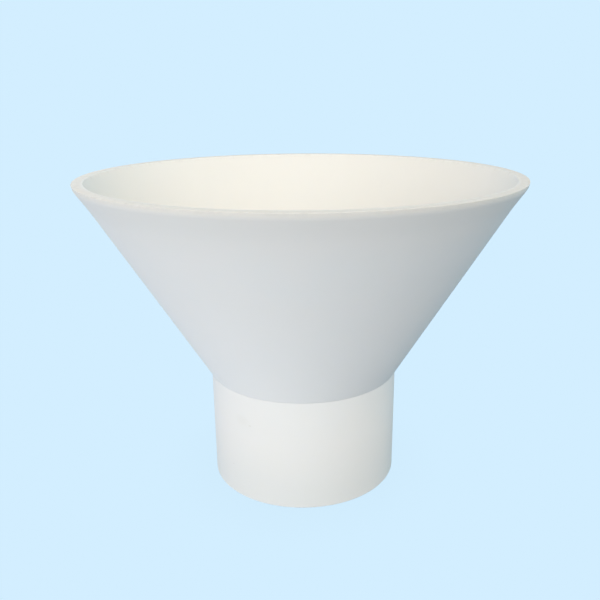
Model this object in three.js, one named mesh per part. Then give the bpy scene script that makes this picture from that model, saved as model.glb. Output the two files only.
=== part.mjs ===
// A demountable conical Buchner funnel in white plastic: a bowl on a collar, with a perforated filter plate
// at the foot of the bowl and a drain cone inside the collar. Millimetres, +Z up, standing on z = 0.
import * as THREE from 'three';

// Driving dimensions
const RIM_Z = 145.8;
const RIM_RADIUS = 100;
const RIM_INNER_RADIUS = 95;
const LIP_RADIUS = 0.9;
const LIP_START_ANGLE = -30;
const LIP_DROP = 1.5;
const CONE_HALF_ANGLE = 30.4;

const COLLAR_RADIUS = 45;
const COLLAR_WALL = 4;
const SHOULDER_Z = 52.5;
const COLLAR_LEDGE_TOP_Z = 29;
const COLLAR_LEDGE_THICKNESS = 4;
const COLLAR_LEDGE_WIDTH = 5;

const PLATE_RADIUS = 36.2;
const PLATE_THICKNESS = 4;
const PLATE_TOP_Z = 49.5;
const HOLE_RADIUS = 1.25;
const HOLE_RINGS = 5;
const HOLE_PITCH = 6.2;
const HOLES_PER_RING_STEP = 6;

const SPIGOT_FOOT_Z = 36;
const SPIGOT_LEDGE_WIDTH = 3.5;

const GASKET_THICKNESS = 1.5;
const O_RING_SECTION_RADIUS = 1.15;
const GROOVE_DEPTH = 2.3;
const GROOVE_WIDTH = 3.2;
const GROOVE_Z = 39.8;

const DRAIN_SLOPE = 25;
const DRAIN_WALL = 3;
const DRAIN_MOUTH_RADIUS = 33;
const SPOUT_BORE_RADIUS = 4.5;
const SPOUT_RADIUS = 7;
const SPOUT_TIP_Z = 4;
const SPOUT_BEVEL = 30;

const EDGE = 0.8;
const GAP = 0.3;

const BODY_SIDES = 64;
const INNER_SIDES = 48;
const HOLE_SIDES = 8;
const O_RING_SIDES = 8;
const ARC_STEPS = 4;

// Worked out from the driving dimensions
const slope = (degrees) => Math.tan(THREE.MathUtils.degToRad(degrees));
const coneTopZ = RIM_Z - LIP_DROP;
const coneTopRadius = COLLAR_RADIUS + (coneTopZ - SHOULDER_Z) * slope(CONE_HALF_ANGLE);
const boreRadius = COLLAR_RADIUS - COLLAR_WALL;
const spigotRadius = boreRadius - GAP;
const plateBoreRadius = PLATE_RADIUS + GAP;
const plateFootZ = PLATE_TOP_Z - PLATE_THICKNESS;
const spigotLedgeZ = plateFootZ - GAP - GASKET_THICKNESS - GAP;
const spigotLedgeRadius = plateBoreRadius - SPIGOT_LEDGE_WIDTH;
const collarLedgeRadius = boreRadius - COLLAR_LEDGE_WIDTH;
const flangeFootZ = COLLAR_LEDGE_TOP_Z + GAP + GASKET_THICKNESS + GAP;
const flangeTopZ = SPIGOT_FOOT_Z - GAP;

const plain = (color, roughness) => new THREE.MeshStandardMaterial({ color, roughness, metalness: 0 });
const whitePlastic = () => plain(0xecebe4, 0.6);
const whiteRubber = () => plain(0xd9d6cb, 0.8);

// Points on an arc in the (radius, z) plane, angles in degrees from straight out.
function arc(centreRadius, centreZ, radius, fromAngle, toAngle, steps = ARC_STEPS) {
  return Array.from({ length: steps + 1 }, (_, i) => {
    const angle = THREE.MathUtils.degToRad(fromAngle + ((toAngle - fromAngle) * i) / steps);
    return [centreRadius + radius * Math.cos(angle), centreZ + radius * Math.sin(angle)];
  });
}

// A closed (radius, z) outline turned about +Z. The outline runs up its outer side and down its inner side.
function turned(outline, sides) {
  const points = [...outline, outline[0]].map(([radius, z]) => new THREE.Vector2(radius, z));
  return new THREE.LatheGeometry(points, sides).rotateX(Math.PI / 2);
}

function flatRing(innerRadius, outerRadius, thickness) {
  const outline = [
    [innerRadius, 0],
    [outerRadius, 0],
    [outerRadius, thickness],
    [innerRadius, thickness],
  ];
  return turned(outline, INNER_SIDES);
}

function circlePoints(radius, sides, centreX = 0, centreY = 0) {
  return Array.from({ length: sides }, (_, i) => {
    const angle = (2 * Math.PI * i) / sides;
    return new THREE.Vector2(centreX + radius * Math.cos(angle), centreY + radius * Math.sin(angle));
  });
}

function piece(name, geometry, material, z = 0) {
  const mesh = new THREE.Mesh(geometry, material);
  mesh.name = name;
  mesh.position.z = z;
  return mesh;
}

// The reservoir: spigot with an O-ring groove, shoulder, wide cone, soft lip, flat rim, then down the inside
// to the plate's recess and its ledge. Its wall thickens from the rim to the shoulder.
function bowlGeometry() {
  const grooveLow = GROOVE_Z - GROOVE_WIDTH / 2;
  const grooveHigh = GROOVE_Z + GROOVE_WIDTH / 2;
  const outline = [
    [spigotLedgeRadius, SPIGOT_FOOT_Z],
    [spigotRadius - EDGE, SPIGOT_FOOT_Z],
    [spigotRadius, SPIGOT_FOOT_Z + EDGE],
    [spigotRadius, grooveLow],
    [spigotRadius - GROOVE_DEPTH, grooveLow],
    [spigotRadius - GROOVE_DEPTH, grooveHigh],
    [spigotRadius, grooveHigh],
    [spigotRadius, SHOULDER_Z],
    [COLLAR_RADIUS, SHOULDER_Z],
    [coneTopRadius, coneTopZ],
    ...arc(RIM_RADIUS - LIP_RADIUS, RIM_Z - LIP_RADIUS, LIP_RADIUS, LIP_START_ANGLE, 90),
    [RIM_INNER_RADIUS, RIM_Z],
    [plateBoreRadius, PLATE_TOP_Z],
    [plateBoreRadius, spigotLedgeZ],
    [spigotLedgeRadius, spigotLedgeZ],
  ];
  return turned(outline, BODY_SIDES);
}

// The straight tube that the funnel stands on, with an inner ledge that carries the drain cone.
function collarGeometry() {
  const top = SHOULDER_Z - GAP;
  const ledgeFoot = COLLAR_LEDGE_TOP_Z - COLLAR_LEDGE_THICKNESS;
  const outline = [
    [boreRadius, 0],
    [COLLAR_RADIUS - EDGE, 0],
    [COLLAR_RADIUS, EDGE],
    [COLLAR_RADIUS, top],
    [boreRadius + EDGE, top],
    [boreRadius, top - EDGE],
    [boreRadius, COLLAR_LEDGE_TOP_Z],
    [collarLedgeRadius, COLLAR_LEDGE_TOP_Z],
    [collarLedgeRadius, ledgeFoot],
    [boreRadius, ledgeFoot],
  ];
  return turned(outline, BODY_SIDES);
}

// A disc drilled with concentric rings of holes, six more in each ring than in the one inside it.
function plateGeometry() {
  const disc = new THREE.Shape(circlePoints(PLATE_RADIUS, INNER_SIDES));
  const drill = (x, y) => disc.holes.push(new THREE.Path(circlePoints(HOLE_RADIUS, HOLE_SIDES, x, y)));
  drill(0, 0);
  for (let ring = 1; ring <= HOLE_RINGS; ring++) {
    for (const centre of circlePoints(ring * HOLE_PITCH, ring * HOLES_PER_RING_STEP)) {
      drill(centre.x, centre.y);
    }
  }
  return new THREE.ExtrudeGeometry(disc, { depth: PLATE_THICKNESS, bevelEnabled: false });
}

// The shallow funnel under the plate: flange, sloping floor and a short spout.
function drainConeGeometry() {
  const fall = slope(DRAIN_SLOPE);
  const floorZ = (radius) => flangeTopZ - (DRAIN_MOUTH_RADIUS - radius) * fall;
  const wallDrop = DRAIN_WALL / Math.cos(THREE.MathUtils.degToRad(DRAIN_SLOPE));
  const undersideRadius = DRAIN_MOUTH_RADIUS - (flangeTopZ - wallDrop - flangeFootZ) / fall;
  const outline = [
    [SPOUT_BORE_RADIUS, SPOUT_TIP_Z],
    [SPOUT_RADIUS, SPOUT_TIP_Z],
    [SPOUT_RADIUS, floorZ(SPOUT_RADIUS) - wallDrop],
    [undersideRadius, flangeFootZ],
    [spigotRadius, flangeFootZ],
    [spigotRadius, flangeTopZ],
    [DRAIN_MOUTH_RADIUS, flangeTopZ],
    [SPOUT_BORE_RADIUS, floorZ(SPOUT_BORE_RADIUS)],
  ];
  return bevelTip(turned(outline, INNER_SIDES));
}

// The spout's end is cut on a slant, so that drops run to one side.
function bevelTip(geometry) {
  const positions = geometry.attributes.position;
  for (let i = 0; i < positions.count; i++) {
    if (Math.abs(positions.getZ(i) - SPOUT_TIP_Z) < GAP) {
      positions.setZ(i, SPOUT_TIP_Z + (positions.getX(i) + SPOUT_RADIUS) * slope(SPOUT_BEVEL));
    }
  }
  return geometry;
}

function oRingGeometry() {
  const centreRadius = spigotRadius - GROOVE_DEPTH + GAP / 2 + O_RING_SECTION_RADIUS;
  return new THREE.TorusGeometry(centreRadius, O_RING_SECTION_RADIUS, O_RING_SIDES, INNER_SIDES);
}

const base = new THREE.Group();
base.add(
  piece('collar', collarGeometry(), whitePlastic()),
  piece(
    'drain_gasket',
    flatRing(collarLedgeRadius + GAP, boreRadius - GAP, GASKET_THICKNESS),
    whiteRubber(),
    COLLAR_LEDGE_TOP_Z + GAP,
  ),
);

const drain = new THREE.Group();
drain.add(piece('drain_cone', drainConeGeometry(), whitePlastic()));

const reservoir = new THREE.Group();
reservoir.add(
  piece('bowl', bowlGeometry(), whitePlastic()),
  piece('bowl_o_ring', oRingGeometry(), whiteRubber(), GROOVE_Z),
  piece(
    'plate_gasket',
    flatRing(spigotLedgeRadius + GAP, plateBoreRadius - GAP, GASKET_THICKNESS),
    whiteRubber(),
    spigotLedgeZ + GAP,
  ),
  piece('filter_plate', plateGeometry(), whitePlastic(), plateFootZ),
);

const funnel = new THREE.Group();
funnel.add(base, drain, reservoir);
export default funnel;
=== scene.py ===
"""Looks of a demountable conical Buchner funnel in waxy white plastic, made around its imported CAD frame.

Every turned piece is a fine mesh lathed from a rounded outline, whose main sizes come from the frame.
Lengths are in metres, +Z is up and the funnel stands on z = 0.
"""

import math

import bmesh
import bpy
from mathutils import Matrix, Vector


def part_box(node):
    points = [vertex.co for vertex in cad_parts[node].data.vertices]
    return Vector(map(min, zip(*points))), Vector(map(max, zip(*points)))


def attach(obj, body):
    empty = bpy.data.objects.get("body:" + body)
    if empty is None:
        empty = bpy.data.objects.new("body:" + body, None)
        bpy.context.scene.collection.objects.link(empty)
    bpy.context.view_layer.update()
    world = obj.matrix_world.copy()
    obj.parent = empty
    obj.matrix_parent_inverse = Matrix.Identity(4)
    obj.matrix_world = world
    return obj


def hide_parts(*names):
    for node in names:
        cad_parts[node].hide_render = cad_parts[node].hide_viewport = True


MM = 0.001

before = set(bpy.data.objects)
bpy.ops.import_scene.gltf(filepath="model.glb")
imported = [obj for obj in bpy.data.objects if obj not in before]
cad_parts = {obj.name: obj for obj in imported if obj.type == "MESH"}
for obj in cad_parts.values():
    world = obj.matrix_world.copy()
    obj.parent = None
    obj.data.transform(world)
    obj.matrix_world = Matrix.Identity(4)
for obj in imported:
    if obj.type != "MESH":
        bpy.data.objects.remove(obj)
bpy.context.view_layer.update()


def radius_of(node):
    """The outer radius of a round CAD node."""
    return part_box(node)[1].y


# ---------------------------------------------------------------- sizes

# The gap that the CAD model leaves between touching faces
CAD_GAP = 0.3 * MM

# Read from the frame
RIM_RADIUS = radius_of("bowl")
RIM_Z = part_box("bowl")[1].z
SPIGOT_FOOT_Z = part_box("bowl")[0].z
COLLAR_RADIUS = radius_of("collar")
SHOULDER_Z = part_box("collar")[1].z + CAD_GAP
PLATE_RADIUS = radius_of("filter_plate")
PLATE_FOOT_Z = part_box("filter_plate")[0].z
PLATE_TOP_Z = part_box("filter_plate")[1].z
FLANGE_RADIUS = radius_of("drain_cone")
FLANGE_TOP_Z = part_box("drain_cone")[1].z
SPOUT_TIP_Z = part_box("drain_cone")[0].z
O_RING_LOW, O_RING_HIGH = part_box("bowl_o_ring")
PLATE_GASKET_LOW, PLATE_GASKET_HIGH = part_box("plate_gasket")
DRAIN_GASKET_LOW, DRAIN_GASKET_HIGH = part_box("drain_gasket")

# Bowl: its cone flares a little below the rim and steepens to a soft lip at the top
SEAM_GAP = 0.04 * MM
CONE_HALF_ANGLE = 30.45
RIM_WIDTH = 5 * MM
FLARE_HEIGHT = 10 * MM
LIP_INSET = 0.25 * MM
LIP_HEIGHT = 1.8 * MM
LIP_HALF_ANGLE = 10
SPIGOT_CLEARANCE = 0.3 * MM
PLATE_CLEARANCE = 0.3 * MM
SPIGOT_LEDGE_WIDTH = 3.5 * MM
MOUTH_RADIUS = RIM_RADIUS - RIM_WIDTH
RECESS_RADIUS = PLATE_RADIUS + PLATE_CLEARANCE
GROOVE_DEPTH = 2.3 * MM
GROOVE_WIDTH = 3.2 * MM

# Collar and drain cone
COLLAR_WALL = 4 * MM
COLLAR_LEDGE_WIDTH = 5 * MM
COLLAR_LEDGE_THICKNESS = 4 * MM
FLANGE_FOOT_Z = DRAIN_GASKET_HIGH.z + CAD_GAP
DRAIN_MOUTH_RADIUS = 33 * MM
DRAIN_SLOPE = 25
DRAIN_WALL = 3 * MM
SPOUT_RADIUS = 7 * MM
SPOUT_BORE_RADIUS = 4.5 * MM
SPOUT_BEVEL = 30
SPOUT_BEVEL_MARGIN = 1 * MM
SPOUT_TOLERANCE = 0.1 * MM

# Gaskets
PLATE_GASKET_WIDTH = 2.9 * MM
DRAIN_GASKET_WIDTH = 4.4 * MM
GASKET_BULGE = 0.12 * MM

# Filter plate
HOLE_RADIUS = 1.25 * MM
HOLE_RINGS = 5
HOLE_PITCH = 6.2 * MM
HOLES_PER_RING_STEP = 6
HOLE_COUNTERSINK = 0.2 * MM

# Fillets, from the tightest
SEAM_FILLET = 0.05 * MM
GROOVE_MOUTH_FILLET = 0.15 * MM
RIM_OUTER_FILLET = 0.15 * MM
COLLAR_FOOT_FILLET = 0.25 * MM
CORNER_FILLET = 0.3 * MM
GASKET_FILLET = 0.35 * MM
LEDGE_FILLET = 0.4 * MM
EDGE_FILLET = 0.5 * MM
ROOT_FILLET = 0.6 * MM
LEAD_IN_FILLET = 0.8 * MM
WELL_FILLET = 1.2 * MM
SPOUT_ROOT_FILLET = 1.6 * MM
LIP_FILLET = 6 * MM
FLARE_FILLET = 60 * MM

# Stains on the collar: azimuth from the camera's side, height, half width, half height, and how far the
# plastic takes the stain's colour
COLLAR_STAINS = [
    (-33, 38.2 * MM, 1.0 * MM, 0.4 * MM, 0.34),
    (-39, 39.9 * MM, 5.0 * MM, 3.5 * MM, 0.07),
]

# Fineness of the meshes
TURNED_SIDES = 256
SEAL_SIDES = 160
O_RING_SECTION_SIDES = 32
HOLE_SIDES = 28
PLATE_EDGE_STEPS = 3
ARC_STEP_DEGREES = 8
FEWEST_ARC_STEPS = 2
SMALLEST_TURN_DEGREES = 1
SUPPORT = 0.15 * MM


# ---------------------------------------------------------------- colours, as linear light

PLASTIC_WARM = (0.880, 0.868, 0.835)
PLASTIC_COOL = (0.872, 0.870, 0.845)
PLASTIC_CLOUD = (0.890, 0.872, 0.845)
PLASTIC_MARK = (0.800, 0.795, 0.770)
PLASTIC_SCUFF = (0.760, 0.745, 0.700)
PLASTIC_SPECK = (0.420, 0.380, 0.310)
# Handling wear and painted shade, at the bowl's rim and on the cone below it
PLASTIC_HANDLED_AND_SHADED = (0.840, 0.805, 0.740)
# Painted light, on the bowl's lower outside and the collar's top
PLASTIC_PAINTED_LIGHT = (0.904, 0.908, 0.893)
PLASTIC_YELLOWED = (0.876, 0.857, 0.790)
# Painted shade towards the collar's foot
PLASTIC_PAINTED_FOOT_SHADE = (0.790, 0.810, 0.795)
PLASTIC_STAIN = (0.640, 0.600, 0.520)
RUBBER_LIGHT = (0.720, 0.705, 0.650)
RUBBER_DARK = (0.640, 0.625, 0.575)
RUBBER_DUST = (0.820, 0.815, 0.800)


# ---------------------------------------------------------------- outlines

def rounded(corners):
    """A closed outline through (radius, z, fillet) corners, with each corner turned into an arc.

    A point close beside each arc keeps the shading of the straight stretches flat.
    """
    points = []
    for index, (radius, z, fillet) in enumerate(corners):
        here = Vector((radius, z))
        before = Vector(corners[index - 1][:2])
        after = Vector(corners[(index + 1) % len(corners)][:2])
        points += corner_arc(here, before, after, fillet)
    return points


def corner_arc(here, before, after, fillet):
    """The points that round off one corner, or the corner itself where it hardly turns."""
    back = (before - here).normalized()
    ahead = (after - here).normalized()
    turn = math.pi - back.angle(ahead)
    if turn < math.radians(SMALLEST_TURN_DEGREES):
        return [here]
    reach = fillet * math.tan(turn / 2)
    middle = (back + ahead).normalized()
    centre = here + middle * (fillet / math.cos(turn / 2))
    start = here + back * reach - centre
    side = 1 if back.y * ahead.x > back.x * ahead.y else -1
    steps = max(FEWEST_ARC_STEPS, math.ceil(math.degrees(turn) / ARC_STEP_DEGREES))
    arc = [centre + turned_by(start, side * turn * step / steps) for step in range(steps + 1)]
    return [here + back * (reach + SUPPORT), *arc, here + ahead * (reach + SUPPORT)]


def turned_by(vector, angle):
    """The vector turned anticlockwise by this angle in radians."""
    cosine, sine = math.cos(angle), math.sin(angle)
    return Vector((vector.x * cosine - vector.y * sine, vector.x * sine + vector.y * cosine))


def slope(degrees):
    return math.tan(math.radians(degrees))


def towards(azimuth, elevation):
    """A unit vector. Azimuth 0 is the camera's side, and 90 is the right as the camera sees it."""
    turn, lift = math.radians(azimuth), math.radians(elevation)
    return Vector((math.sin(turn) * math.cos(lift), -math.cos(turn) * math.cos(lift), math.sin(lift)))


# ---------------------------------------------------------------- meshes

def add_rings(shape, outline, sides, closed=True, centre=(0, 0)):
    """Turns a (radius, z) outline about a vertical axis and returns its rings of vertices."""
    rings = []
    for point in outline:
        ring = []
        for side in range(sides):
            angle = 2 * math.pi * side / sides
            x = centre[0] + point.x * math.cos(angle)
            y = centre[1] + point.x * math.sin(angle)
            ring.append(shape.verts.new((x, y, point.y)))
        rings.append(ring)
    pairs = list(zip(rings, rings[1:]))
    if closed:
        pairs.append((rings[-1], rings[0]))
    for low, high in pairs:
        for side in range(sides):
            after = (side + 1) % sides
            shape.faces.new((low[side], low[after], high[after], high[side]))
    return rings


def object_from(shape, name):
    mesh = bpy.data.meshes.new(name)
    for face in shape.faces:
        face.smooth = True
    shape.to_mesh(mesh)
    shape.free()
    thing = bpy.data.objects.new(name, mesh)
    bpy.context.scene.collection.objects.link(thing)
    return thing


def lathe(name, outline, sides=TURNED_SIDES):
    shape = bmesh.new()
    add_rings(shape, outline, sides)
    return object_from(shape, name)


def make_bowl():
    """The reservoir: a grooved spigot, a cone with a lip, and inside them the plate's recess and ledge."""
    flare_z = RIM_Z - FLARE_HEIGHT
    flare_radius = COLLAR_RADIUS + (flare_z - SHOULDER_Z) * slope(CONE_HALF_ANGLE)
    lip_radius = RIM_RADIUS - LIP_INSET
    lip_foot_radius = lip_radius - LIP_HEIGHT * slope(LIP_HALF_ANGLE)
    spigot_radius = COLLAR_RADIUS - COLLAR_WALL - SPIGOT_CLEARANCE
    groove_radius = spigot_radius - GROOVE_DEPTH
    groove_middle = (O_RING_LOW.z + O_RING_HIGH.z) / 2
    groove_low = groove_middle - GROOVE_WIDTH / 2
    groove_high = groove_middle + GROOVE_WIDTH / 2
    ledge_radius = RECESS_RADIUS - SPIGOT_LEDGE_WIDTH
    ledge_z = PLATE_GASKET_LOW.z - CAD_GAP
    outline = rounded([
        (ledge_radius, SPIGOT_FOOT_Z, LEDGE_FILLET),
        (spigot_radius, SPIGOT_FOOT_Z, LEAD_IN_FILLET),
        (spigot_radius, groove_low, GROOVE_MOUTH_FILLET),
        (groove_radius, groove_low, CORNER_FILLET),
        (groove_radius, groove_high, CORNER_FILLET),
        (spigot_radius, groove_high, GROOVE_MOUTH_FILLET),
        (spigot_radius, SHOULDER_Z, CORNER_FILLET),
        (COLLAR_RADIUS, SHOULDER_Z, SEAM_FILLET),
        (flare_radius, flare_z, FLARE_FILLET),
        (lip_foot_radius, RIM_Z - LIP_HEIGHT, LIP_FILLET),
        (lip_radius, RIM_Z, RIM_OUTER_FILLET),
        (MOUTH_RADIUS, RIM_Z, EDGE_FILLET),
        (RECESS_RADIUS, PLATE_TOP_Z, EDGE_FILLET),
        (RECESS_RADIUS, ledge_z, CORNER_FILLET),
        (ledge_radius, ledge_z, LEDGE_FILLET),
    ])
    return lathe("bowl_turned", outline)


def make_collar():
    """The straight tube that the funnel stands on, with an inner ledge that carries the drain cone."""
    bore_radius = COLLAR_RADIUS - COLLAR_WALL
    ledge_radius = bore_radius - COLLAR_LEDGE_WIDTH
    ledge_top = DRAIN_GASKET_LOW.z - CAD_GAP
    ledge_foot = ledge_top - COLLAR_LEDGE_THICKNESS
    outline = rounded([
        (bore_radius, 0, EDGE_FILLET),
        (COLLAR_RADIUS, 0, COLLAR_FOOT_FILLET),
        (COLLAR_RADIUS, SHOULDER_Z - SEAM_GAP, SEAM_FILLET),
        (bore_radius, SHOULDER_Z - SEAM_GAP, LEAD_IN_FILLET),
        (bore_radius, ledge_top, CORNER_FILLET),
        (ledge_radius, ledge_top, LEDGE_FILLET),
        (ledge_radius, ledge_foot, LEDGE_FILLET),
        (bore_radius, ledge_foot, ROOT_FILLET),
    ])
    return lathe("collar_turned", outline)


def make_drain_cone():
    """The shallow funnel inside the collar, whose spout ends in a slanting cut."""
    fall = slope(DRAIN_SLOPE)
    wall_drop = DRAIN_WALL / math.cos(math.radians(DRAIN_SLOPE))

    def floor_z(radius):
        return FLANGE_TOP_Z - (DRAIN_MOUTH_RADIUS - radius) * fall

    underside_radius = DRAIN_MOUTH_RADIUS - (FLANGE_TOP_Z - wall_drop - FLANGE_FOOT_Z) / fall
    root_z = floor_z(SPOUT_RADIUS) - wall_drop
    outline = rounded([
        (SPOUT_BORE_RADIUS, SPOUT_TIP_Z, LEDGE_FILLET),
        (SPOUT_RADIUS, SPOUT_TIP_Z, EDGE_FILLET),
        (SPOUT_RADIUS, root_z, SPOUT_ROOT_FILLET),
        (underside_radius, FLANGE_FOOT_Z, ROOT_FILLET),
        (FLANGE_RADIUS, FLANGE_FOOT_Z, EDGE_FILLET),
        (FLANGE_RADIUS, FLANGE_TOP_Z, EDGE_FILLET),
        (DRAIN_MOUTH_RADIUS, FLANGE_TOP_Z, ROOT_FILLET),
        (SPOUT_BORE_RADIUS, floor_z(SPOUT_BORE_RADIUS), WELL_FILLET),
    ])
    cone = lathe("drain_cone_turned", outline)
    # Only the spout is slanted: fully at its tip, and less and less up to its root.
    cut_whole_z = SPOUT_TIP_Z + SPOUT_BEVEL_MARGIN
    cut_end_z = root_z - SPOUT_BEVEL_MARGIN
    for vertex in cone.data.vertices:
        share = min(1, max(0, (cut_end_z - vertex.co.z) / (cut_end_z - cut_whole_z)))
        if math.hypot(vertex.co.x, vertex.co.y) < SPOUT_RADIUS + SPOUT_TOLERANCE:
            vertex.co.z += share * (vertex.co.x + SPOUT_RADIUS) * slope(SPOUT_BEVEL)
    return cone


def make_filter_plate():
    """A disc drilled with concentric rings of countersunk holes."""
    shape = bmesh.new()
    top_loops, foot_loops = [], []

    rim_foot = wall_edge(PLATE_RADIUS, PLATE_FOOT_Z, EDGE_FILLET, inward=1, up=-1)
    rim_top = wall_edge(PLATE_RADIUS, PLATE_TOP_Z, EDGE_FILLET, inward=1, up=1)
    rings = add_rings(shape, rim_foot[::-1] + rim_top, TURNED_SIDES, closed=False)
    foot_loops.append(rings[0])
    top_loops.append(rings[-1])

    bore_top = wall_edge(HOLE_RADIUS, PLATE_TOP_Z, HOLE_COUNTERSINK, inward=-1, up=1)
    bore_foot = wall_edge(HOLE_RADIUS, PLATE_FOOT_Z, HOLE_COUNTERSINK, inward=-1, up=-1)
    bore = bore_top[::-1] + bore_foot
    for x, y in hole_centres():
        rings = add_rings(shape, bore, HOLE_SIDES, closed=False, centre=(x, y))
        top_loops.append(rings[0])
        foot_loops.append(rings[-1])

    for loops, up in ((top_loops, 1), (foot_loops, -1)):
        edges = [shape.edges.get((a, b)) for ring in loops for a, b in zip(ring, ring[1:] + ring[:1])]
        filled = bmesh.ops.triangle_fill(shape, edges=edges, use_beauty=True, normal=(0, 0, up))
        for face in filled["geom"]:
            if isinstance(face, bmesh.types.BMFace) and face.normal.z * up < 0:
                face.normal_flip()
    return object_from(shape, "filter_plate_drilled")


def wall_edge(radius, z, fillet, inward, up):
    """The rounded edge between a wall at this radius and a flat face at this z, from the wall to the face.

    The face lies inwards of the wall where inward is 1, and outwards where it is -1.
    """
    points = []
    for step in range(PLATE_EDGE_STEPS + 1):
        angle = math.pi / 2 * step / PLATE_EDGE_STEPS
        out = fillet * (1 - math.cos(angle))
        points.append(Vector((radius - inward * out, z - up * fillet * (1 - math.sin(angle)))))
    points.append(Vector((radius - inward * (fillet + SUPPORT), z)))
    return points


def hole_centres():
    """The middles of the plate's holes: one in the centre, then rings with six more holes in each."""
    yield 0, 0
    for ring in range(1, HOLE_RINGS + 1):
        count = ring * HOLES_PER_RING_STEP
        for index in range(count):
            angle = 2 * math.pi * index / count
            yield ring * HOLE_PITCH * math.cos(angle), ring * HOLE_PITCH * math.sin(angle)


def make_flat_gasket(name, low, high, width):
    """A flat ring with softly bulging edges, from the CAD ring's box and its width."""
    outer = high.y
    middle = (low.z + high.z) / 2
    inner = outer - width
    outline = rounded([
        (inner, low.z, GASKET_FILLET),
        (outer, low.z, GASKET_FILLET),
        (outer + GASKET_BULGE, middle, GASKET_FILLET),
        (outer, high.z, GASKET_FILLET),
        (inner, high.z, GASKET_FILLET),
        (inner - GASKET_BULGE, middle, GASKET_FILLET),
    ])
    return lathe(name, outline, SEAL_SIDES)


def make_o_ring():
    section = (O_RING_HIGH.z - O_RING_LOW.z) / 2
    middle = Vector((O_RING_HIGH.y - section, (O_RING_HIGH.z + O_RING_LOW.z) / 2))
    outline = []
    for step in range(O_RING_SECTION_SIDES):
        angle = 2 * math.pi * step / O_RING_SECTION_SIDES
        outline.append(middle + section * Vector((math.cos(angle), math.sin(angle))))
    return lathe("bowl_o_ring_moulded", outline, SEAL_SIDES)


# ---------------------------------------------------------------- materials

# How far apart the noises of two materials with neighbouring seeds are taken, in metres
SEED_SHIFT = (1.7, 2.3, 3.1)

# The share of a speck's or a stain's width that is solid, before its edge fades
SPECK_CORE = 0.4
PATCH_CORE = 0.3

# White plastic: sizes and depths of its features, shares of the colours they mix in, and roughness.
# A contrast is the part of a noise's values, from 0 to 1, that is spread over the feature's whole range.
CLOUD_SIZE = 38 * MM
CLOUD_CONTRAST = (0.35, 0.65)
DRIFT_SIZE = 17 * MM
DRIFT_CONTRAST = (0.38, 0.62)
DRIFT_SHARE = 0.5
TURNING_PITCH = 0.5 * MM
TURNING_DEPTH = 0.010 * MM
TURNING_SHARE = 0.10
GRAIN_SIZE = 0.35 * MM
GRAIN_DEPTH = 0.006 * MM
SPECK_SPACING = 15 * MM
SPECK_SIZE = 0.28 * MM
SPECK_ODDS = 0.35
SPECK_SHARE = 0.45
SCUFF_REACH = 2.2 * MM
SCUFF_SIZE = 2.6 * MM
SCUFF_CONTRAST = (0.5, 0.62)
SCUFF_DEPTH = 0.02 * MM
SCUFF_SHARE = 0.30
SCUFF_ROUGHNESS = 0.12
SHEEN_SIZE = 6 * MM
SHEEN_CONTRAST = (0.3, 0.7)
PLASTIC_ROUGHNESS = (0.50, 0.60)

# Tones of the bowl and the collar, with painted light and shade besides yellowing and handling wear. The
# first two part the bowl's inside from its outside, and are measured outwards from its inner wall.
INSIDE_END = 0.2 * MM
OUTSIDE_START = 1.5 * MM
YELLOWED_SHARE = 0.5
# Painted light on the bowl's outside, towards its seam
BOWL_PAINTED_LIGHT_SHARE = 0.8
# Handling wear and painted shade at the rim, and on the cone below it
RIM_WEAR_AND_SHADE_REACH = 4 * MM
BELOW_RIM_WEAR_AND_SHADE_REACH = 25 * MM
BELOW_RIM_WEAR_AND_SHADE_SHARE = 0.43
# Painted light towards the collar's seam
COLLAR_PAINTED_LIGHT_SHARE = 0.6
# Painted shade towards the collar's foot
FOOT_SHADE_REACH = 34 * MM
FOOT_SHADE_SHARE = 0.75

# Seal rubber
RUBBER_CLOUD_SIZE = 7 * MM
DUST_SPACING = 2.6 * MM
DUST_SIZE = 0.16 * MM
DUST_ODDS = 0.5
DUST_SHARE = 0.6
RUBBER_SHEEN_SIZE = 1.8 * MM
RUBBER_ROUGHNESS = (0.42, 0.58)
RUBBER_SKIN_SIZE = 0.9 * MM
RUBBER_SKIN_DEPTH = 0.015 * MM
RUBBER_RING_PITCH = 0.6 * MM
RUBBER_RING_DEPTH = 0.008 * MM


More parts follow.
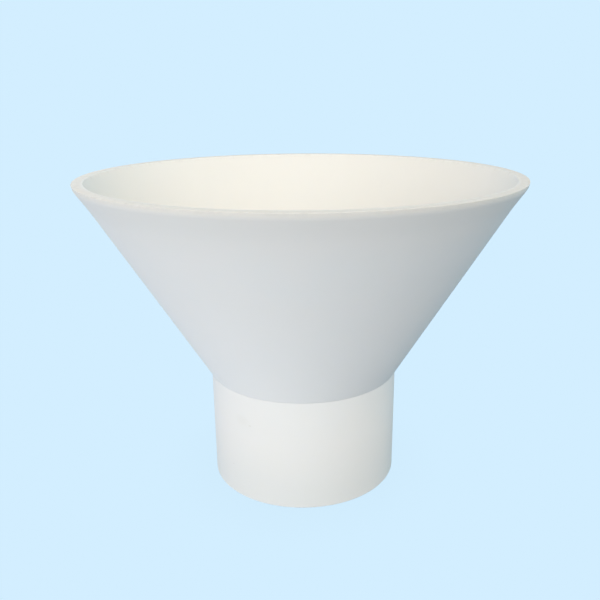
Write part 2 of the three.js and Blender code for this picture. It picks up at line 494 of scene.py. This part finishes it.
class Shading:
    """The node tree of one material, with a short call for each kind of node that the materials use."""

    def __init__(self, name, seed):
        self.material = bpy.data.materials.new(name)
        self.material.use_nodes = True
        self.tree = self.material.node_tree
        self.shader = self.tree.nodes["Principled BSDF"]
        self.place = self.add("TexCoord").outputs["Object"]
        shift = tuple(seed * part for part in SEED_SHIFT)
        self.shifted = self.add("VectorMath", {0: self.place, 1: shift}).outputs[0]
        self.split = self.add("SeparateXYZ", {0: self.place}).outputs
        flat = self.add("VectorMath", {0: self.place, 1: (1, 1, 0)}, operation="MULTIPLY").outputs[0]
        self.radius = self.add("VectorMath", {0: flat}, operation="LENGTH").outputs["Value"]

    def add(self, kind, inputs=(), **settings):
        node = self.tree.nodes.new("ShaderNode" + kind)
        for name, value in settings.items():
            setattr(node, name, value)
        for socket, value in dict(inputs).items():
            self.feed(node.inputs[socket], value)
        return node

    def feed(self, socket, value):
        if isinstance(value, bpy.types.NodeSocket):
            self.tree.links.new(value, socket)
        else:
            socket.default_value = value

    def math(self, operation, first, second=0.0):
        return self.add("Math", {0: first, 1: second}, operation=operation).outputs[0]

    def noise(self, feature, detail, vector=None):
        """Noise from 0 to 1 whose lumps are about this many metres across."""
        inputs = {"Vector": vector or self.shifted, "Scale": 1 / feature, "Detail": detail}
        return self.add("TexNoise", inputs).outputs["Fac"]

    def fade(self, value, low, high, low_to=0.0, high_to=1.0):
        """Maps low..high softly to low_to..high_to."""
        inputs = {"Value": value, "From Min": low, "From Max": high, "To Min": low_to, "To Max": high_to}
        return self.add("MapRange", inputs, interpolation_type="SMOOTHSTEP").outputs[0]

    def mix(self, share, first, second):
        """The first colour, taken this share of the way to the second."""
        first = (*first, 1) if isinstance(first, tuple) else first
        second = (*second, 1) if isinstance(second, tuple) else second
        return self.add("Mix", {0: share, 6: first, 7: second}, data_type="RGBA").outputs[2]

    def rings(self, pitch):
        """Noise that changes with radius and height only, like the marks that a turning tool leaves."""
        outline = self.add("CombineXYZ", {0: self.radius, 1: self.split["Z"]}).outputs[0]
        return self.noise(pitch, detail=1, vector=outline)

    def near_height(self, level, reach):
        """1 at this height, fading to 0 at reach above and below it."""
        away = self.math("ABSOLUTE", self.math("SUBTRACT", self.split["Z"], level))
        return self.fade(away, 0.0, reach, 1.0, 0.0)

    def specks(self, spacing, size, share):
        """Sparse round specks: one in each cell of this spacing, kept in this share of the cells."""
        cells = self.add("TexVoronoi", {"Vector": self.shifted, "Scale": 1 / spacing})
        edge = size / spacing
        spot = self.fade(cells.outputs["Distance"], edge * SPECK_CORE, edge, 1.0, 0.0)
        draw = self.add("SeparateColor", {0: cells.outputs["Color"]}).outputs[0]
        return self.math("MULTIPLY", spot, self.math("LESS_THAN", draw, share))

    def patch(self, middle, half_width, half_height):
        """1 at this point of an upright wall, fading to 0 at an oval around it."""
        offset = self.add("VectorMath", {0: self.place, 1: middle}, operation="SUBTRACT").outputs[0]
        extent = (half_width, half_width, half_height)
        scaled = self.add("VectorMath", {0: offset, 1: extent}, operation="DIVIDE").outputs[0]
        away = self.add("VectorMath", {0: scaled}, operation="LENGTH").outputs["Value"]
        return self.fade(away, PATCH_CORE, 1.0, 1.0, 0.0)

    def bump(self, height, depth, under=None):
        """Relief of this depth in metres for a height from 0 to 1, on top of another bump if there is one."""
        inputs = {"Height": height, "Distance": depth}
        if under:
            inputs["Normal"] = under
        return self.add("Bump", inputs).outputs[0]


def bowl_tones(s, colour):
    """Yellowed a little inside; wear and painted shade at and below the rim; painted light towards the seam.
    """
    wall_slope = (MOUTH_RADIUS - RECESS_RADIUS) / (RIM_Z - PLATE_TOP_Z)
    inner_wall = MOUTH_RADIUS - wall_slope * RIM_Z
    depth = s.math("SUBTRACT", s.radius, s.math("MULTIPLY", s.split["Z"], wall_slope))
    outside = s.fade(depth, inner_wall + INSIDE_END, inner_wall + OUTSIDE_START)
    inside = s.math("SUBTRACT", 1.0, outside)
    # Painted light: the outside of the cone is lighter towards the seam
    painted_light = s.math("MULTIPLY", outside, s.fade(s.split["Z"], SHOULDER_Z, RIM_Z, BOWL_PAINTED_LIGHT_SHARE, 0.0))
    # Painted shade and handling wear: the rim top and the cone just below it are darker
    touched_and_shaded = s.math("MULTIPLY", s.near_height(RIM_Z, BELOW_RIM_WEAR_AND_SHADE_REACH), BELOW_RIM_WEAR_AND_SHADE_SHARE)
    held_and_shaded = s.math("MAXIMUM", s.near_height(RIM_Z, RIM_WEAR_AND_SHADE_REACH), touched_and_shaded)
    colour = s.mix(s.math("MULTIPLY", inside, YELLOWED_SHARE), colour, PLASTIC_YELLOWED)
    colour = s.mix(painted_light, colour, PLASTIC_PAINTED_LIGHT)
    return s.mix(s.math("MULTIPLY", outside, held_and_shaded), colour, PLASTIC_HANDLED_AND_SHADED)


def collar_tones(s, colour):
    """The collar has painted light towards its seam, painted shade towards its foot, and a faint stain."""
    # Painted light: lighter towards the seam
    painted_light = s.fade(s.split["Z"], 0.0, SHOULDER_Z, 0.0, COLLAR_PAINTED_LIGHT_SHARE)
    # Painted shade: darker towards the foot
    foot_shade = s.fade(s.split["Z"], 0.0, FOOT_SHADE_REACH, FOOT_SHADE_SHARE, 0.0)
    colour = s.mix(painted_light, colour, PLASTIC_PAINTED_LIGHT)
    colour = s.mix(foot_shade, colour, PLASTIC_PAINTED_FOOT_SHADE)
    for azimuth, height, half_width, half_height, share in COLLAR_STAINS:
        middle = towards(azimuth, 0) * COLLAR_RADIUS + Vector((0, 0, height))
        stain = s.math("MULTIPLY", s.patch(middle, half_width, half_height), share)
        colour = s.mix(stain, colour, PLASTIC_STAIN)
    return colour


def white_plastic(name, seed, worn_heights, tones=None):
    """Waxy white plastic: a faint cloudy tint, turning marks, fine grain, specks and scuffed edges."""
    s = Shading(name, seed)
    cloud = s.fade(s.noise(CLOUD_SIZE, detail=3), *CLOUD_CONTRAST)
    drift = s.fade(s.noise(DRIFT_SIZE, detail=2), *DRIFT_CONTRAST)
    turning = s.rings(TURNING_PITCH)
    grain = s.noise(GRAIN_SIZE, detail=2)
    speck = s.specks(SPECK_SPACING, SPECK_SIZE, SPECK_ODDS)

    scuff = 0.0
    for level in worn_heights:
        scuff = s.math("MAXIMUM", s.near_height(level, SCUFF_REACH), scuff)
    scuff = s.math("MULTIPLY", scuff, s.fade(s.noise(SCUFF_SIZE, detail=4), *SCUFF_CONTRAST))

    colour = s.mix(cloud, PLASTIC_WARM, PLASTIC_COOL)
    colour = s.mix(s.math("MULTIPLY", drift, DRIFT_SHARE), colour, PLASTIC_CLOUD)
    if tones:
        colour = tones(s, colour)
    colour = s.mix(s.math("MULTIPLY", turning, TURNING_SHARE), colour, PLASTIC_MARK)
    colour = s.mix(s.math("MULTIPLY", scuff, SCUFF_SHARE), colour, PLASTIC_SCUFF)
    colour = s.mix(s.math("MULTIPLY", speck, SPECK_SHARE), colour, PLASTIC_SPECK)
    s.feed(s.shader.inputs["Base Color"], colour)

    rough = s.fade(s.noise(SHEEN_SIZE, detail=4), *SHEEN_CONTRAST, *PLASTIC_ROUGHNESS)
    rough = s.math("ADD", rough, s.math("MULTIPLY", scuff, SCUFF_ROUGHNESS))
    s.feed(s.shader.inputs["Roughness"], rough)

    relief = s.bump(turning, TURNING_DEPTH)
    relief = s.bump(grain, GRAIN_DEPTH, relief)
    relief = s.bump(scuff, SCUFF_DEPTH, relief)
    s.feed(s.shader.inputs["Normal"], relief)

    s.shader.inputs["IOR"].default_value = 1.45
    s.shader.inputs["Subsurface Weight"].default_value = 0.15
    s.shader.inputs["Subsurface Radius"].default_value = (1.0, 0.9, 0.75)
    s.shader.inputs["Subsurface Scale"].default_value = 1.5 * MM
    return s.material


def seal_rubber(name, seed):
    """Milky silicone rubber: mottled, with fine dust, an uneven satin skin and faint mould rings."""
    s = Shading(name, seed)
    cloud = s.fade(s.noise(RUBBER_CLOUD_SIZE, detail=3), *CLOUD_CONTRAST)
    dust = s.specks(DUST_SPACING, DUST_SIZE, DUST_ODDS)
    colour = s.mix(cloud, RUBBER_LIGHT, RUBBER_DARK)
    colour = s.mix(s.math("MULTIPLY", dust, DUST_SHARE), colour, RUBBER_DUST)
    s.feed(s.shader.inputs["Base Color"], colour)

    rough = s.fade(s.noise(RUBBER_SHEEN_SIZE, detail=3), *SHEEN_CONTRAST, *RUBBER_ROUGHNESS)
    s.feed(s.shader.inputs["Roughness"], rough)

    relief = s.bump(s.noise(RUBBER_SKIN_SIZE, detail=3), RUBBER_SKIN_DEPTH)
    relief = s.bump(s.rings(RUBBER_RING_PITCH), RUBBER_RING_DEPTH, relief)
    s.feed(s.shader.inputs["Normal"], relief)

    s.shader.inputs["IOR"].default_value = 1.41
    s.shader.inputs["Subsurface Weight"].default_value = 0.3
    s.shader.inputs["Subsurface Radius"].default_value = (1.0, 0.9, 0.8)
    s.shader.inputs["Subsurface Scale"].default_value = 1.2 * MM
    return s.material


# ---------------------------------------------------------------- camera and stage

# Camera, from a fit to the funnel's outline: distance and height in metres, angles in degrees
CAMERA_DISTANCE = 0.3102
CAMERA_HEIGHT = 0.1836
CAMERA_PITCH = 17.556
CAMERA_YAW = 1.083
CAMERA_ROLL = -0.258
CAMERA_LENS_MM = 40.41
CAMERA_SHIFT_X = -0.0253
CAMERA_SENSOR_MM = 36
CAMERA_NEAR = 0.01
CAMERA_FAR = 100

BACKDROP_RADIUS = 4.0
BACKDROP_COLOUR = (0.651, 0.855, 1.0)
BACKDROP_SEGMENTS = 48
FLOOR_SIDES = 96
FLOOR_SHARE_OF_BACKDROP = 0.99
FLOOR_DROP = 0.2 * MM
CONTACT_SHADE = 0.04
CONTACT_SHADE_REACH = 30 * MM
CONTACT_SAMPLES = 16

# Azimuth from the camera's side, elevation, sharpness, strength, colour. The lights were picked and fitted
# to the plastic's tones by a separate script, then rounded and adjusted by hand.
STUDIO_LIGHTS = [
    (0, 20, 12, 4.60, (0.96, 0.995, 1.00)),
    (90, 45, 12, 2.03, (0.98, 1.00, 1.00)),
    (120, 0, 12, 1.10, (0.66, 0.925, 1.00)),
    (-90, 0, 1, 0.69, (0.93, 0.95, 1.00)),
    (-90, -60, 12, 0.86, (0.95, 0.94, 1.00)),
    (0, -60, 12, 1.30, (0.69, 0.83, 1.00)),
    (0, 90, 1, 0.33, (1.00, 0.70, 0.40)),
    (180, 0, 1, 0.70, (0.31, 0.70, 1.00)),
    (-150, 30, 12, 0.82, (1.00, 0.96, 0.99)),
]


def make_camera():
    """The photographed view: a little above the rim, looking down along +Y."""
    camera = bpy.data.objects.new("camera", bpy.data.cameras.new("camera"))
    bpy.context.scene.collection.objects.link(camera)
    bpy.context.scene.camera = camera
    camera.data.lens = CAMERA_LENS_MM
    camera.data.sensor_width = CAMERA_SENSOR_MM
    camera.data.shift_x = CAMERA_SHIFT_X
    camera.data.clip_start = CAMERA_NEAR
    camera.data.clip_end = CAMERA_FAR
    turn = Matrix.Rotation(math.radians(-CAMERA_YAW), 4, "Z")
    tilt = Matrix.Rotation(math.radians(90 - CAMERA_PITCH), 4, "X")
    roll = Matrix.Rotation(math.radians(CAMERA_ROLL), 4, "Z")
    place = Matrix.Translation((0, -CAMERA_DISTANCE, CAMERA_HEIGHT))
    camera.matrix_world = place @ turn @ tilt @ roll


def emission_material(name, colour):
    material = bpy.data.materials.new(name)
    material.use_nodes = True
    nodes = material.node_tree.nodes
    nodes.clear()
    output = nodes.new("ShaderNodeOutputMaterial")
    glow = nodes.new("ShaderNodeEmission")
    glow.inputs["Color"].default_value = (*colour, 1)
    material.node_tree.links.new(glow.outputs[0], output.inputs["Surface"])
    return material, glow


def camera_only(thing):
    """Seen by the camera, but gives the funnel no light, reflection or shadow."""
    thing.visible_diffuse = False
    thing.visible_glossy = False
    thing.visible_transmission = False
    thing.visible_volume_scatter = False
    thing.visible_shadow = False


def make_backdrop():
    shape = bmesh.new()
    bmesh.ops.create_uvsphere(
        shape, u_segments=BACKDROP_SEGMENTS, v_segments=BACKDROP_SEGMENTS // 2, radius=BACKDROP_RADIUS)
    dome = object_from(shape, "backdrop")
    material, _ = emission_material("backdrop", BACKDROP_COLOUR)
    dome.data.materials.append(material)
    camera_only(dome)


def make_floor():
    """A pale floor in the backdrop's own colour, a little darker only where the funnel stands on it."""
    shape = bmesh.new()
    radius = BACKDROP_RADIUS * FLOOR_SHARE_OF_BACKDROP
    bmesh.ops.create_circle(shape, cap_ends=True, segments=FLOOR_SIDES, radius=radius)
    floor = object_from(shape, "floor")
    floor.location.z = -FLOOR_DROP
    material, glow = emission_material("floor", BACKDROP_COLOUR)
    nodes, links = material.node_tree.nodes, material.node_tree.links
    contact = nodes.new("ShaderNodeAmbientOcclusion")
    contact.samples = CONTACT_SAMPLES
    contact.inputs["Distance"].default_value = CONTACT_SHADE_REACH
    shade = nodes.new("ShaderNodeMapRange")
    shade.inputs["To Min"].default_value = 1 - CONTACT_SHADE
    links.new(contact.outputs["AO"], shade.inputs["Value"])
    links.new(shade.outputs[0], glow.inputs["Strength"])
    floor.data.materials.append(material)
    camera_only(floor)


def make_studio_light():
    """Broad soft lights far away, as glowing patches of the world that fade out from their middles."""
    world = bpy.data.worlds.new("studio")
    bpy.context.scene.world = world
    world.use_nodes = True
    nodes, links = world.node_tree.nodes, world.node_tree.links
    place = nodes.new("ShaderNodeTexCoord")
    total = None
    for azimuth, elevation, sharpness, strength, colour in STUDIO_LIGHTS:
        facing = nodes.new("ShaderNodeVectorMath")
        facing.operation = "DOT_PRODUCT"
        facing.inputs[1].default_value = towards(azimuth, elevation)
        links.new(place.outputs["Generated"], facing.inputs[0])
        ahead = nodes.new("ShaderNodeMath")
        ahead.operation = "MAXIMUM"
        ahead.inputs[1].default_value = 0
        links.new(facing.outputs["Value"], ahead.inputs[0])
        patch = nodes.new("ShaderNodeMath")
        patch.operation = "POWER"
        patch.inputs[1].default_value = sharpness
        links.new(ahead.outputs[0], patch.inputs[0])
        tinted = nodes.new("ShaderNodeVectorMath")
        tinted.operation = "SCALE"
        tinted.inputs[0].default_value = [strength * part for part in colour]
        links.new(patch.outputs[0], tinted.inputs["Scale"])
        if total:
            both = nodes.new("ShaderNodeVectorMath")
            links.new(total, both.inputs[0])
            links.new(tinted.outputs[0], both.inputs[1])
            total = both.outputs[0]
        else:
            total = tinted.outputs[0]
    links.new(total, nodes["Background"].inputs["Color"])


# ---------------------------------------------------------------- the funnel

def place(piece, node, body, slot_name, material):
    """Stands a fine piece in for its CAD node."""
    piece.data.materials.append(material)
    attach(piece, body)
    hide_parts(node)


place(make_collar(), "collar", "base", "white_plastic",
      white_plastic("collar_plastic", 1, [0], collar_tones))
place(make_drain_cone(), "drain_cone", "drain", "white_plastic",
      white_plastic("drain_cone_plastic", 2, [SPOUT_TIP_Z, FLANGE_TOP_Z]))
place(make_bowl(), "bowl", "reservoir", "white_plastic",
      white_plastic("bowl_plastic", 3, [RIM_Z, SPIGOT_FOOT_Z], bowl_tones))
place(make_filter_plate(), "filter_plate", "plate", "white_plastic",
      white_plastic("filter_plate_plastic", 4, [PLATE_FOOT_Z, PLATE_TOP_Z]))
place(make_o_ring(), "bowl_o_ring", "reservoir", "seal_rubber",
      seal_rubber("bowl_o_ring_rubber", 5))
place(make_flat_gasket("plate_gasket_cut", PLATE_GASKET_LOW, PLATE_GASKET_HIGH, PLATE_GASKET_WIDTH),
      "plate_gasket", "reservoir", "seal_rubber", seal_rubber("plate_gasket_rubber", 6))
place(make_flat_gasket("drain_gasket_cut", DRAIN_GASKET_LOW, DRAIN_GASKET_HIGH, DRAIN_GASKET_WIDTH),
      "drain_gasket", "base", "seal_rubber", seal_rubber("drain_gasket_rubber", 7))

make_camera()
make_backdrop()
make_floor()
make_studio_light()
bpy.context.scene.view_settings.view_transform = "Standard"
